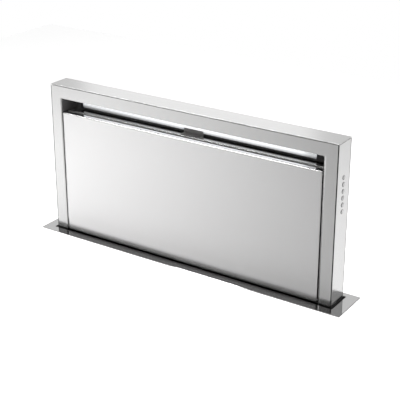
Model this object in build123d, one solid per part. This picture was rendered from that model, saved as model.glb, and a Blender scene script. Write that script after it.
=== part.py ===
from build123d import *
import os
from math import cos, pi, radians, sin, sqrt

os.makedirs("parts", exist_ok=True)

# A downdraft vent: a slim tower that rises out of the worktop, with its chassis, lift and blower below.
# Millimetres. X to the right, Y to the back, Z up. The origin is the centre of the worktop cut-out,
# in the worktop's upper face, on which the trim plate lies. The tower is drawn raised.

# ---- driving dimensions: tower ----
tower_width = 820.0
tower_depth = 62.0
tower_rise = 400.0
tower_skirt = 110.0
sheet = 1.2
bend = 1.6
skin_gap = 0.4
stile_width = 34.0
top_rail_height = 34.0
slot_height = 37.0
cap_thickness = 1.2
cap_overhang = 0.2
cap_seam = 1.8
corner_seam = 2.2
return_depth = 12.0
frame_return = 15.0

# ---- driving dimensions: trim plate and seal ----
plate_thickness = 2.0
plate_side_margin = 35.0
plate_front_margin = 28.0
plate_back_margin = 22.0
tower_gap = 6.0
plate_corner_radius = 1.5
plate_edge = 0.4
cutout_corner_radius = 2.0
seal_depth = 5.0
seal_lip = 1.2
seal_seat = 4.0
seal_clearance = 1.0

# ---- driving dimensions: front panel ----
panel_side_gap = 3.5
magnet_size = (14.0, 9.0, 20.0)
magnet_gap = 0.4
panel_bottom_gap = 2.0
panel_depth = 15.0
hem_length = 8.0
hinge_rise = 5.0
hinge_setback = 6.0
hinge_pin_radius = 2.0
pin_clearance = 0.1
pin_reach = 6.0

# ---- driving dimensions: chassis ----
chassis_side_room = 18.0
chassis_front = 46.0
chassis_back = 44.0
chassis_height = 700.0
chassis_flange = 14.0
bead_width = 16.0
bead_height = 2.5

# ---- driving dimensions: lift ----
rail_depth = 12.0
rail_width = 36.0
rail_front = 38.0
rail_sheet = 1.5
rail_lip = 5.0
rail_top_drop = 12.0
glide_clearance = 0.4
glide_height = 26.0
glide_neck_margin = 3.0
belt_centre = 21.0
belt_width = 8.4
belt_thickness = 1.6
pulley_radius = 11.0
pulley_width = 11.0
pulley_flange = 1.0
pulley_flange_rise = 2.5
pulley_teeth = 20
run_clearance = 0.3
shaft_radius = 4.0
shaft_drop = 560.0
idler_drop = 60.0
idler_pin_radius = 3.0
bearing_radius = 9.0
bearing_hub = 6.9
bearing_flange = 2.4
running_fit = 0.06
switch_size = (20.0, 8.0, 12.0)
gearbox_size = (44.0, 40.0, 65.0)
gearbox_inset = 110.0
gearbox_drop = 39.0
gearbox_boss = 3.0
belt_jaw = 4.0
lift_motor_radius = 17.0
lift_motor_length = 72.0

# ---- driving dimensions: inside the tower ----
filter_depth = 10.0
filter_setback = 27.0
filter_lift = 5.0
filter_pad = 6.0
seat_gap = 0.3
ledge_lip = 12.0
sill_drop = 2.0
skin_flange = 14.0
filter_border = 12.0
filter_middle_gap = 60.0
filter_end_clearance = 5.0
filter_pitch = 10.0
light_width = 700.0
light_height = 17.0
light_depth = 9.0
light_setback = 48.0
light_rise = 4.0
light_bow = 1.0
diffuser_thickness = 2.0
centre_bracket_width = 56.0
lining_gap = 0.3
foot_beam_depth = 17.0
foot_beam_height = 18.0

# ---- driving dimensions: push-buttons ----
button_names = ["lift", "power", "light", "slower", "faster", "timer"]
button_radius = 4.5
button_clearance = 0.3
button_proud = 0.8
button_travel = 1.0
button_pitch = 16.6
button_top_drop = 87.0
button_flange = 1.4
button_flange_rise = 1.2
stand_off_radius = 1.8
stand_off_margin = 3.0
board_thickness = 1.6

# ---- driving dimensions: blower ----
box_width = 330.0
box_height = 300.0
box_flange = 12.0
box_depth = 220.0
box_sheet = 1.2
wheel_radius = 90.0
wheel_width = 88.0
blade_count = 36
blade_depth = 14.0
blade_thickness = 1.0
blade_lean = 8.0
blade_belly = (1.2, -2.4)
blade_tip_gap = 0.6
wheel_ring_width = 2.4
hub_length = 20.0
scroll_wall = 1.6
scroll_width = 104.0
scroll_start = 96.0
scroll_growth = 52.0
tongue_angle = 25.0
scroll_offset = 20.0
scroll_floor_gap = 4.0
scroll_foot_width = 12.0
mouth_gap = 14.8
inlet_radius = 76.0
inlet_flare = 8.0
collar_radius = 74.5
collar_wall = 1.5
collar_length = 81.0
collar_flange = 8.0
collar_gap = 2.0
flap_pin_radius = 1.5
flap_thickness = 0.8
flap_setback = 11.0
flap_knuckle = 28.0
motor_radius = 44.0
motor_length = 80.0
motor_shaft_radius = 4.0
motor_setback = 14.0
motor_shaft_reach = 12.0
motor_ring_width = 8.0
motor_ring_thickness = 4.0
motor_arm_width = 12.0
motor_stand_off = 10.0
intake_width = 280.0
intake_height = 150.0

# ---- driving dimensions: controls and fixings ----
control_width = 140.0
control_height = 140.0
control_depth = 50.0
control_wall = 2.0
control_offset = 190.0
control_drop = 190.0
control_corner = 5.0
control_lip = 3.0
control_screw_margin = 8.0
cover_screw_margin = 10.0
gland_bore = 4.5
gland_radius = 8.0
gland_length = 22.0
gland_neck_radius = 6.0
gland_nut_height = 6.0
screw_head_radius = 4.0
screw_head_height = 2.2
clamp_width = 20.0
clamp_drop = 7.0
clamp_screw_radius = 3.0
worktop_thickness = 38.0
foot_drop = 40.0
foot_reach = 15.0
foot_hole_radius = 2.75
foot_hole_spacing = 50.0
foot_hole_margin = 6.5
bracket_wall = 2.0
bracket_end = 10.0

# ---- places that follow from the sizes above ----
half_width = tower_width / 2
front = -tower_depth / 2
back = tower_depth / 2
tower_top = plate_thickness + tower_rise
frame_top = tower_top - cap_thickness - cap_seam
rail_bottom = tower_top - top_rail_height
panel_top = rail_bottom - slot_height
panel_bottom = plate_thickness + panel_bottom_gap
opening_half = half_width - stile_width
ledge_top = panel_top
chassis_half = half_width + chassis_side_room
chassis_width = 2 * chassis_half
gearbox_offset = chassis_half - gearbox_inset
wall_inner = chassis_half - sheet
front_inner = -chassis_front + sheet
back_inner = chassis_back - sheet
filter_front = front + filter_setback
filter_back = filter_front + filter_depth
box_back = -chassis_front
box_front = box_back - box_depth
box_bottom = -chassis_height + box_flange + 2.0
box_top = box_bottom + box_height
hinge_y = front + hinge_setback
hinge_z = panel_bottom + hinge_rise
foot_hole_x = chassis_half + foot_reach - foot_hole_margin
intake_centre_z = box_bottom + box_flange + intake_height / 2
side_signs = {"left": -1, "right": 1}


def block(x_range, y_range, z_range):
    """A cuboid between two values on each axis."""
    sizes = [abs(b - a) for a, b in (x_range, y_range, z_range)]
    middle = [(a + b) / 2 for a, b in (x_range, y_range, z_range)]
    return Pos(*middle) * Box(*sizes)


def folded_section(points, thickness=sheet, radius=bend):
    """The cross-section of a folded sheet, whose metal lies to the left of the line through the points."""
    radii = []
    for before, corner, after in zip(points, points[1:], points[2:]):
        going = (corner[0] - before[0], corner[1] - before[1])
        leaving = (after[0] - corner[0], after[1] - corner[1])
        turns_left = going[0] * leaving[1] > going[1] * leaving[0]
        radii.append(radius if turns_left else radius - thickness)
    line = FilletPolyline(*points, radius=radii)
    wall = offset(line, amount=thickness, side=Side.LEFT, closed=True)
    return make_face(wall.edges())


def folded_across(points, x_range, thickness=sheet):
    """A sheet folded about lines along X. The points are (y, z)."""
    section = Plane.YZ * folded_section(points, thickness)
    length = x_range[1] - x_range[0]
    return Pos(x_range[0], 0, 0) * extrude(section, length, dir=(1, 0, 0))


def folded_upright(points, z_range, thickness=sheet, radius=bend):
    """A sheet folded about upright lines. The points are (x, y)."""
    section = folded_section(points, thickness, radius)
    return Pos(0, 0, z_range[0]) * extrude(section, z_range[1] - z_range[0], dir=(0, 0, 1))


def rod_x(x_range, y, z, radius):
    """A round bar along X."""
    length = x_range[1] - x_range[0]
    return Pos((x_range[0] + x_range[1]) / 2, y, z) * Rot(0, 90, 0) * Cylinder(radius, length)


def rod_y(y_range, x, z, radius):
    """A round bar along Y."""
    length = y_range[1] - y_range[0]
    return Pos(x, (y_range[0] + y_range[1]) / 2, z) * Rot(90, 0, 0) * Cylinder(radius, length)


def rod_z(z_range, x, y, radius):
    """An upright round bar."""
    length = z_range[1] - z_range[0]
    return Pos(x, y, (z_range[0] + z_range[1]) / 2) * Cylinder(radius, length)


def mirrored(shape, sign):
    """The shape as drawn for the right-hand side, or its mirror image on the left."""
    return shape if sign > 0 else mirror(shape, Plane.YZ)


def save(shape, node):
    """Write one sub-part, or a group of like solids, as its own file."""
    if isinstance(shape, (list, tuple)):
        shape = Compound(children=[solid for item in shape for solid in item.solids()])
    export_step(shape, f"parts/{node}.step")
    print(node, len(shape.solids()), round(shape.volume))


# ---- trim plate and seal ----
cutout_size = (tower_width + 2 * tower_gap, tower_depth + 2 * tower_gap)


def trim_plate():
    """Polished plate on the worktop, with the tower's cut-out."""
    width = tower_width + 2 * plate_side_margin
    depth = tower_depth + plate_front_margin + plate_back_margin
    centre_y = (plate_back_margin - plate_front_margin) / 2
    outline = Pos(0, centre_y) * RectangleRounded(width, depth, plate_corner_radius)
    cutout = RectangleRounded(*cutout_size, cutout_corner_radius)
    plate = extrude(outline - cutout, plate_thickness)
    rim = plate.faces().sort_by(Axis.Z)[-1].outer_wire().edges()
    return chamfer(rim, plate_edge)


def wiper_seal():
    """Rubber seal under the plate: a body round the cut-out and a lip that reaches for the tower."""
    reach = cap_overhang + seal_clearance
    outer = Rectangle(cutout_size[0] + 2 * seal_seat, cutout_size[1] + 2 * seal_seat)
    body = extrude(outer - Rectangle(*cutout_size), -seal_depth)
    lip_face = outer - Rectangle(tower_width + 2 * reach, tower_depth + 2 * reach)
    lip = Pos(0, 0, -(seal_depth + seal_lip) / 2) * extrude(lip_face, seal_lip)
    return body + lip


# ---- chassis ----
def beaded(skin, centre, length, outward, upright):
    """The skin with one long pressed bead, raised on its outer side and hollow behind."""
    x, y, z = centre
    along = (0, 0, 1) if upright else (1, 0, 0)
    outside = Plane(origin=(x, y, z), x_dir=along, z_dir=(0, outward, 0))
    inside = Plane(origin=(x, y - outward * sheet, z), x_dir=along, z_dir=(0, outward, 0))
    raised = extrude(outside * SlotOverall(length, bead_width), bead_height, taper=30)
    hollow_slot = SlotOverall(length - 2 * sheet, bead_width - 2 * sheet)
    hollow = extrude(inside * hollow_slot, bead_height, taper=30)
    return skin + raised - hollow


def chassis_front_sheet():
    """Front skin: folded under at the foot, with the air opening and two beads."""
    points = [(-chassis_front, 0), (-chassis_front, -chassis_height)]
    points.append((-chassis_front + chassis_flange, -chassis_height))
    skin = folded_across(points, (-chassis_half, chassis_half))
    opening = Plane.XZ * RectangleRounded(intake_width, intake_height, bead_width / 2)
    cutter = extrude(opening, chassis_front, both=True)
    skin -= Pos(0, -chassis_front, intake_centre_z) * cutter
    for x in (-chassis_width / 4, 0):
        skin = beaded(skin, (x, -chassis_front, -chassis_height / 4), chassis_width / 5, -1, False)
    return skin


def chassis_back_sheet():
    """Back skin: folded under at the foot, with upright beads."""
    points = [(chassis_back - chassis_flange, -chassis_height), (chassis_back, -chassis_height)]
    points.append((chassis_back, 0))
    skin = folded_across(points, (-chassis_half, chassis_half))
    for x in (-chassis_width / 3, 0, chassis_width / 3):
        skin = beaded(skin, (x, chassis_back, -chassis_height / 2), chassis_height * 0.7, 1, True)
    return skin


def chassis_side_sheet(sign):
    """Side skin, folded inwards along the front and back, with the hole for the shaft bearing."""
    inner_end = chassis_half - chassis_flange
    points = [(inner_end, front_inner), (chassis_half, front_inner)]
    points += [(chassis_half, back_inner), (inner_end, back_inner)]
    skin = folded_upright(points, (-chassis_height + bend, 0))
    hole = rod_x((wall_inner - 1, chassis_half + 1), belt_centre, -shaft_drop, bearing_hub + pin_clearance)
    return mirrored(skin - hole, sign)


def chassis_base():
    """Base pan that stands on the folded feet of the front and back skins."""
    floor = -chassis_height + sheet
    rise = floor + return_depth
    points = [(front_inner, rise), (front_inner, floor), (back_inner, floor), (back_inner, rise)]
    half = chassis_half - chassis_flange - skin_gap
    pan = folded_across(points, (-half, half))
    inset = sheet + skin_gap
    reach = wall_inner - seat_gap
    y_range = (front_inner + inset, back_inner - inset)
    return pan + block((-reach, reach), y_range, (floor, floor + sheet))


def floor_bracket(sign):
    """Angle on the side skin that reaches the cabinet floor, slotted for height."""
    foot = -chassis_height - foot_drop
    y_middle = (back_inner + front_inner) / 2
    half = foot_hole_spacing / 2 + bracket_end
    y_range = (y_middle - half, y_middle + half)
    points = [(chassis_half, foot + 2.5 * foot_drop), (chassis_half, foot), (chassis_half + foot_reach, foot)]
    section = Plane.XZ * folded_section(points, bracket_wall)
    angle = Pos(0, y_range[1], 0) * extrude(section, y_range[1] - y_range[0], dir=(0, -1, 0))
    for side in (-1, 1):
        y = y_middle + side * foot_hole_spacing / 2
        angle -= rod_z((foot - 1, foot + bracket_wall + 1), foot_hole_x, y, foot_hole_radius)
        slot = Plane.YZ * SlotOverall(foot_drop, 2 * foot_hole_radius, rotation=90)
        cutter = extrude(slot, foot_reach, both=True)
        angle -= Pos(chassis_half, y, -chassis_height + foot_drop * 0.75) * cutter
    return mirrored(angle, sign)


def clamp_places():
    """Where the worktop clamps stand along each side skin."""
    return [(sign, y) for sign in (-1, 1) for y in (front_inner / 2, back_inner / 2)]


def worktop_clamp(sign, y):
    """Angle whose leg takes the screw that presses up against the worktop."""
    shelf = -worktop_thickness - clamp_drop
    points = [(chassis_half + foot_reach, shelf), (chassis_half, shelf)]
    points.append((chassis_half, shelf - 2 * clamp_width))
    section = Plane.XZ * folded_section(points, bracket_wall)
    angle = Pos(0, y + clamp_width / 2, 0) * extrude(section, clamp_width, dir=(0, -1, 0))
    hole_z = (shelf - bracket_wall - 1, shelf + 1)
    hole = rod_z(hole_z, foot_hole_x, y, clamp_screw_radius + pin_clearance)
    return mirrored(angle - hole, sign)


def clamp_screw(sign, y):
    """Screw with a round pad above and a head below."""
    top = -worktop_thickness
    pad = rod_z((top - 2, top), foot_hole_x, y, 2 * clamp_screw_radius)
    stem = rod_z((top - 2 * clamp_width, top), foot_hole_x, y, clamp_screw_radius)
    head = extrude(RegularPolygon(1.8 * clamp_screw_radius, 6), 2 * clamp_screw_radius)
    head = Pos(foot_hole_x, y, top - 2 * clamp_width - clamp_screw_radius) * head
    return mirrored(pad + stem + head, sign)


# ---- lift ----
rail_outer = wall_inner
rail_inner = rail_outer - rail_depth
rail_back = -rail_front + rail_width
rail_bottom_z = -(tower_skirt + tower_rise) - bead_width / 2
pulley_outer = wall_inner - bearing_flange - skin_gap
pulley_inner = pulley_outer - pulley_width
belt_inner_radius = pulley_radius + run_clearance
belt_outer_radius = belt_inner_radius + belt_thickness


def guide_rail(sign):
    """Lipped channel on the side skin, in which the tower's glide blocks run."""
    points = [(rail_inner, -rail_front + rail_lip), (rail_inner, -rail_front), (rail_outer, -rail_front)]
    points += [(rail_outer, rail_back), (rail_inner, rail_back), (rail_inner, rail_back - rail_lip)]
    rail = folded_upright(points, (rail_bottom_z, -rail_top_drop), rail_sheet, rail_sheet + skin_gap)
    return mirrored(rail, sign)


def glide_block(sign, top):
    """Plastic block: a head inside the rail and a neck that is screwed to the tower's side."""
    gap = rail_sheet + glide_clearance
    z_range = (top - glide_height, top)
    y_range = (-rail_front + gap, rail_back - gap)
    head = block((rail_inner + gap, rail_outer - gap), y_range, z_range)
    head = fillet(head.edges().filter_by(Axis.Z), 1.0)
    neck_inset = rail_lip + glide_neck_margin
    neck_y = (-rail_front + neck_inset, rail_back - neck_inset)
    neck = block((half_width, rail_inner + gap), neck_y, z_range)
    return mirrored(head + neck, sign)


def pulley(toothed, bore):
    """Belt pulley along X from the origin: a rim between two flanges, toothed or plain."""
    rim = Circle(pulley_radius)
    if toothed:
        tooth_gap = Rectangle(pulley_flange_rise, pi * pulley_radius / pulley_teeth)
        rim -= PolarLocations(pulley_radius, pulley_teeth) * tooth_gap
    flange = Circle(pulley_radius + pulley_flange_rise)
    body = extrude(rim, pulley_width)
    for z in (0, pulley_width - pulley_flange):
        body += Pos(0, 0, z) * extrude(flange, pulley_flange)
    body -= Cylinder(bore, 4 * pulley_width)
    return Rot(0, 90, 0) * body


def drive_pulley(sign):
    """Toothed pulley on the cross shaft, in the gap between the tower and the side skin."""
    return mirrored(Pos(pulley_inner, belt_centre, -shaft_drop) * pulley(True, shaft_radius), sign)


def idler_pulley(sign):
    """Plain pulley on the idler pin above the drive pulley."""
    bore = idler_pin_radius + running_fit
    return mirrored(Pos(pulley_inner, belt_centre, -idler_drop) * pulley(False, bore), sign)


def drive_shaft():
    """Cross shaft through the gearbox and both drive pulleys."""
    reach = chassis_half + skin_gap
    shaft = rod_x((-reach, reach), belt_centre, -shaft_drop, shaft_radius)
    return chamfer(shaft.edges().filter_by(GeomType.CIRCLE), 0.5)


def shaft_bearing(sign):
    """Flanged bush in the side skin."""
    flange = rod_x((wall_inner - bearing_flange, wall_inner), belt_centre, -shaft_drop, bearing_radius)
    hub = rod_x((wall_inner - 1, chassis_half + 0.8), belt_centre, -shaft_drop, bearing_hub)
    reach = (wall_inner - 2 * bearing_flange, chassis_half + bearing_flange)
    bore = rod_x(reach, belt_centre, -shaft_drop, shaft_radius + running_fit)
    return mirrored(flange + hub - bore, sign)


def idler_bracket(sign):
    """Plate riveted to the side skin, with the pin that the idler turns on."""
    plate_x = (wall_inner - rail_sheet, wall_inner)
    reach = pulley_radius + pulley_flange_rise
    z_range = (-idler_drop - 2 * reach, -idler_drop + 2 * reach)
    plate = block(plate_x, (belt_centre - reach, belt_centre + reach), z_range)
    plate = fillet(plate.edges().filter_by(Axis.X), idler_pin_radius)
    pin = rod_x((pulley_inner - skin_gap, wall_inner), belt_centre, -idler_drop, idler_pin_radius)
    return mirrored(plate + pin, sign)


def belt(sign):
    """Closed belt round one drive pulley and one idler."""
    span = shaft_drop - idler_drop
    outer = SlotOverall(span + 2 * belt_outer_radius, 2 * belt_outer_radius, rotation=90)
    inner = SlotOverall(span + 2 * belt_inner_radius, 2 * belt_inner_radius, rotation=90)
    band = extrude(Plane.YZ * (outer - inner), belt_width / 2, both=True)
    x = (pulley_inner + pulley_outer) / 2
    z = -(shaft_drop + idler_drop) / 2
    return mirrored(Pos(x, belt_centre, z) * band, sign)


def belt_clamp(sign):
    """Jaw on the tower's side that grips the front run of the belt."""
    run = (belt_centre - belt_outer_radius, belt_centre - belt_inner_radius)
    low = -tower_skirt + belt_jaw
    y_range = (run[0] - belt_jaw, run[1] + belt_jaw)
    z_range = (low, low + glide_height)
    body = block((half_width, pulley_outer), y_range, z_range)
    inside = (pulley_inner + pulley_flange - run_clearance, pulley_outer + 1)
    slot_y = (run[0] - run_clearance, run[1] + run_clearance)
    slot = block(inside, slot_y, (z_range[0] - 1, z_range[1] + 1))
    return mirrored(body - slot, sign)


def lift_gearbox():
    """Worm gearbox on the back skin; the cross shaft runs through it."""
    width, depth, height = gearbox_size
    y_back = back_inner - seat_gap
    z_low = -shaft_drop - gearbox_drop
    x_range = (-gearbox_offset - width / 2, -gearbox_offset + width / 2)
    case = block(x_range, (y_back - depth, y_back), (z_low, z_low + height))
    case = fillet(case.edges().filter_by(Axis.Y), 6.0)
    boss_x = (x_range[0] - gearbox_boss, x_range[1] + gearbox_boss)
    boss = rod_x(boss_x, belt_centre, -shaft_drop, 2.5 * shaft_radius)
    bore_x = (boss_x[0] - 1, boss_x[1] + 1)
    bore = rod_x(bore_x, belt_centre, -shaft_drop, shaft_radius + running_fit)
    return case + boss - bore


def lift_motor():
    """Geared motor's round can, hung under the gearbox."""
    top = -shaft_drop - gearbox_drop
    y = back_inner - seat_gap - gearbox_size[1] / 2
    low = top - lift_motor_length
    can = rod_z((low, top), -gearbox_offset, y, lift_motor_radius)
    can = fillet(can.edges().sort_by(Axis.Z)[0], 3.0)
    cap = rod_z((low - gearbox_boss, low), -gearbox_offset, y, lift_motor_radius / 2)
    return can + cap


def limit_switch(z):
    """Small switch on the back skin, with its lever towards the tower."""
    width, depth, height = switch_size
    body = Pos(chassis_width / 4, back_inner - depth / 2, z) * Box(width, depth, height)
    lever = Box(width / 6, 1, height * 1.1)
    return body + Pos(chassis_width / 4, back_inner - depth, z) * Rot(12, 0, 0) * lever


# ---- tower skin ----
corner_y = front + sheet + skin_gap
frame_back = front + sheet + frame_return
skin_inner = half_width - sheet
button_top = tower_top - button_top_drop
button_heights = [button_top - button_pitch * i for i in range(len(button_names))]


def tower_cap():
    """Flat cap with a locating lip inside the tower."""
    width = tower_width + 2 * cap_overhang
    depth = tower_depth + 2 * cap_overhang
    under = tower_top - cap_thickness
    lid = Pos(0, 0, under) * extrude(RectangleRounded(width, depth, 1.0), cap_thickness)
    lid = fillet(lid.faces().sort_by(Axis.Z)[-1].outer_wire().edges(), cap_thickness / 4)
    lip_width = 2 * (skin_inner - seat_gap)
    lip_depth = 2 * (-corner_y - sheet - seat_gap)
    ring = Rectangle(lip_width, lip_depth) - Rectangle(lip_width - 2 * sheet, lip_depth - 2 * sheet)
    return lid + Pos(0, 0, under - return_depth) * extrude(ring, return_depth)


def front_frame():
    """Front skin in one sheet: top rail, two stiles and a foot rail, returned round the opening."""
    half = half_width - corner_seam
    skin = block((-half, half), (front, front + sheet), (-tower_skirt, frame_top))
    opening_low = plate_thickness - sill_drop - 1
    opening = block((-opening_half, opening_half), (front - 1, front + sheet + 1), (opening_low, rail_bottom))
    skin -= opening
    skin_edges = skin.edges().filter_by_position(Axis.Y, front - 0.01, front + 0.01)
    rim = skin_edges.filter_by(lambda e: abs(e.center().X) < half - 1 and e.center().Z > opening_low - 0.5)
    rim = rim.filter_by(lambda e: e.center().Z < frame_top - 1)
    skin = fillet(rim, 0.7)
    outer_half = opening_half + sheet
    y_range = (front + sheet / 2, frame_back)
    returns = block((-outer_half, outer_half), y_range, (opening_low, rail_bottom + sheet))
    y_wide = (front - 1, y_range[1] + 1)
    returns -= block((-opening_half, opening_half), y_wide, (opening_low - 1, rail_bottom))
    frame = skin + returns
    for x in (-opening_half - sheet / 2, opening_half + sheet / 2):
        frame -= rod_x((x - sheet, x + sheet), hinge_y, hinge_z, hinge_pin_radius + running_fit)
    return frame


def side_skin(sign):
    """Side skin, folded behind the front and back skins. The right one has the button holes."""
    inner_end = half_width - skin_flange
    points = [(inner_end, corner_y), (half_width, corner_y), (half_width, -corner_y), (inner_end, -corner_y)]
    skin = mirrored(folded_upright(points, (-tower_skirt, frame_top)), sign)
    if sign > 0:
        for z in button_heights:
            hole_x = (skin_inner - 1, half_width + 1)
            skin -= rod_x(hole_x, 0, z, button_radius + button_clearance)
    return skin


def back_skin():
    """Back skin: a flat sheet, stiffened by the foot beam."""
    half = half_width - corner_seam
    return block((-half, half), (back - sheet, back), (-tower_skirt, frame_top))


def foot_beam():
    """Folded beam across the back of the tower's foot."""
    y_back = -corner_y - sheet - seat_gap
    y_front = y_back - foot_beam_depth
    low = -tower_skirt + 2
    high = low + foot_beam_height
    points = [(y_back, low), (y_back, high), (y_front, high), (y_front, low)]
    reach = skin_inner - skin_gap
    return folded_across(points, (-reach, reach))


# ---- inside the tower ----
lining_half = opening_half - lining_gap
light_z = ledge_top + light_rise
light_y = front + light_setback
filter_top = ledge_top - sheet - filter_lift
filter_bottom = -sill_drop + seat_gap
filter_outer = opening_half - filter_end_clearance
filter_inner = filter_middle_gap / 2
ledge_half = half_width - skin_flange - skin_gap
roof_z = rail_bottom + sheet + lining_gap
lining_back = -corner_y - sheet
ledge_front = filter_front - seat_gap - sheet


def intake_lining():
    """Dark sheet lining behind the slot: back, a roof, and two ends that reach forward inside the frame."""
    low = ledge_top + seat_gap
    y_front = frame_back + seat_gap
    points = [(lining_half, y_front), (lining_half, lining_back)]
    points += [(-lining_half, lining_back), (-lining_half, y_front)]
    walls = folded_upright(points, (low, roof_z))
    for sign in (-1, 1):
        x_range = (sign * (lining_half - sheet), sign * lining_half)
        walls += block(x_range, (front + sheet + seat_gap, y_front), (low, rail_bottom - seat_gap))
    roof = block((-lining_half, lining_half), (corner_y + skin_gap, lining_back), (roof_z, roof_z + sheet))
    return walls + roof


def baffle_ledge():
    """Polished ledge that closes the space above the filters and catches their top edge."""
    y_back = lining_back + seat_gap
    points = [(y_back, ledge_top + return_depth), (y_back, ledge_top)]
    points += [(ledge_front, ledge_top), (ledge_front, ledge_top - ledge_lip)]
    return folded_across(points, (-ledge_half, ledge_half))


def filter_sill():
    """Folded shelf that the filters stand on."""
    lip_y = filter_back + seat_gap
    points = [(lip_y, return_depth), (lip_y, -sill_drop)]
    points += [(corner_y, -sill_drop), (corner_y, -sill_drop - return_depth)]
    return folded_across(points, (-ledge_half, ledge_half))


def filter_frame(sign):
    """Aluminium frame of one grease filter, grooved inside for its pad, with a finger pull."""
    width = filter_outer - filter_inner
    height = filter_top - filter_bottom
    centre = (filter_outer + filter_inner) / 2
    z_middle = (filter_top + filter_bottom) / 2
    window = Rectangle(width - 2 * filter_border, height - 2 * filter_border)
    ring = extrude(Plane.XZ * (RectangleRounded(width, height, 3.0) - window), filter_depth / 2, both=True)
    groove = Plane.XZ * Rectangle(width - filter_border, height - filter_border)
    ring -= extrude(groove, filter_pad / 2 + seat_gap, both=True)
    pull_outline = SlotOverall(3 * filter_border, 2 * filter_border)
    pull_outline -= SlotOverall(2 * filter_border, filter_border)
    pull = extrude(Plane.XZ * pull_outline, sheet)
    pull_z = -height / 2 + 2 * filter_border
    frame = ring + Pos(0, -filter_depth / 2, pull_z - filter_border) * pull
    return mirrored(Pos(centre, filter_front + filter_depth / 2, z_middle) * frame, sign)


def filter_mesh(sign):
    """Crimped mesh pad of one filter: a thin sheet in upright waves."""
    width = filter_outer - filter_inner - 1.5 * filter_border
    height = filter_top - filter_bottom - 1.5 * filter_border
    waves = int(width // filter_pitch)
    step = width / (2 * waves)
    crest = filter_pad / 2 - 1
    front_line = [(-width / 2 + step * i, -crest if i % 2 else crest) for i in range(2 * waves + 1)]
    back_line = [(x, y + 1.0) for x, y in reversed(front_line)]
    section = make_face(Polyline(*front_line, *back_line, close=True))
    pad = extrude(section, height / 2, both=True)
    centre = (filter_outer + filter_inner) / 2
    place = Pos(centre, filter_front + filter_depth / 2 - 0.5, (filter_top + filter_bottom) / 2)
    return mirrored(place * pad, sign)


def centre_post():
    """Folded post that closes the gap between the two filters."""
    half = filter_inner - 2 * seat_gap
    points = [(half, filter_back), (half, filter_front), (-half, filter_front), (-half, filter_back)]
    post = folded_upright(list(reversed(points)), (filter_bottom, filter_top))
    return post


def light_profile():
    """Aluminium channel that holds the light strip, low against the lining's back and open to the front."""
    y_back = light_y + light_depth
    low, high = light_z, light_z + light_height
    points = [(light_y, low), (y_back, low), (y_back, high), (light_y, high)]
    return folded_across(points, (-light_width / 2, light_width / 2))


def light_diffuser():
    """Opal strip, bowed to the front, that snaps into the channel."""
    low = light_z + sheet + seat_gap
    high = light_z + light_height - sheet - seat_gap
    y_front = light_y + sheet
    y_back = y_front + diffuser_thickness
    bow = ThreePointArc((y_front, low), (light_y - light_bow, (low + high) / 2), (y_front, high))
    rest = Polyline((y_front, high), (y_back, high), (y_back, low), (y_front, low))
    half = light_width / 2 - seat_gap
    return extrude(Plane.YZ * make_face([bow, rest]), half, both=True)


def light_pad(x):
    """Foam pad that sticks the light profile to the lining."""
    y_range = (light_y + light_depth, lining_back - sheet)
    z_range = (light_z + sheet, light_z + light_height - sheet)
    return block((x - 2 * return_depth, x + 2 * return_depth), y_range, z_range)


def centre_bracket():
    """Dark clip on the ledge, across the lower half of the light strip."""
    y = light_y - light_bow - seat_gap
    points = [(ledge_front + return_depth / 4, ledge_top), (y, ledge_top), (y, light_z + light_height / 2)]
    return folded_across(points, (-centre_bracket_width / 2, centre_bracket_width / 2))


# ---- front panel ----
panel_half = opening_half - panel_side_gap
panel_back = front + panel_depth


def front_panel():
    """Steel pan with a hemmed top edge, folded ends and the holes for its hinge pins."""
    points = [(panel_back, panel_top - hem_length), (panel_back, panel_top), (front, panel_top)]
    points += [(front, panel_bottom), (panel_back, panel_bottom), (panel_back, panel_bottom + hem_length)]
    pan = folded_across(points, (-panel_half, panel_half))
    y_range = (front + sheet / 2, panel_back - sheet / 2)
    z_range = (panel_bottom + sheet / 2, panel_top - sheet / 2)
    for sign in (-1, 1):
        pan += block((sign * (panel_half - sheet), sign * panel_half), y_range, z_range)
    reach = panel_half + 1
    for sign in (-1, 1):
        x_range = sorted((sign * reach, sign * (panel_half - 2 * sheet)))
        pan -= rod_x(x_range, hinge_y, hinge_z, hinge_pin_radius + pin_clearance)
    return pan


def hinge_pin(sign):
    """Headed pin through the frame's return into the panel's folded end."""
    outside = opening_half + sheet + pin_clearance
    pin = rod_x((panel_half - pin_reach, outside + 1), hinge_y, hinge_z, hinge_pin_radius)
    head = rod_x((outside, outside + 1.6), hinge_y, hinge_z, 1.75 * hinge_pin_radius)
    return mirrored(pin + head, sign)


def panel_magnet(sign):
    """Magnet in its holder on the frame's return, just behind the panel's hem."""
    width, depth, height = magnet_size
    y_front = panel_back + magnet_gap
    z_high = panel_top - 2 * hem_length
    body = block((opening_half - width, opening_half), (y_front, y_front + depth), (z_high - height, z_high))
    return mirrored(fillet(body.edges().filter_by(Axis.Y), width / 10), sign)


# ---- push-buttons ----
board_x = skin_inner - seat_gap - button_flange - button_travel - 4 * button_clearance - 2


def push_button(z):
    """Round button: a domed cap through the skin, a flange behind it and a stem towards the board."""
    flange_x = skin_inner - seat_gap
    cap = rod_x((flange_x - button_flange, half_width + button_proud), 0, z, button_radius)
    cap = fillet(cap.edges().filter_by(GeomType.CIRCLE).sort_by(Axis.X)[-1], 0.6)
    flange = rod_x((flange_x - button_flange, flange_x), 0, z, button_radius + button_flange_rise)
    stem = rod_x((board_x + button_travel + button_clearance, flange_x - 1), 0, z, button_radius / 2)
    return cap + flange + stem


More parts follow.
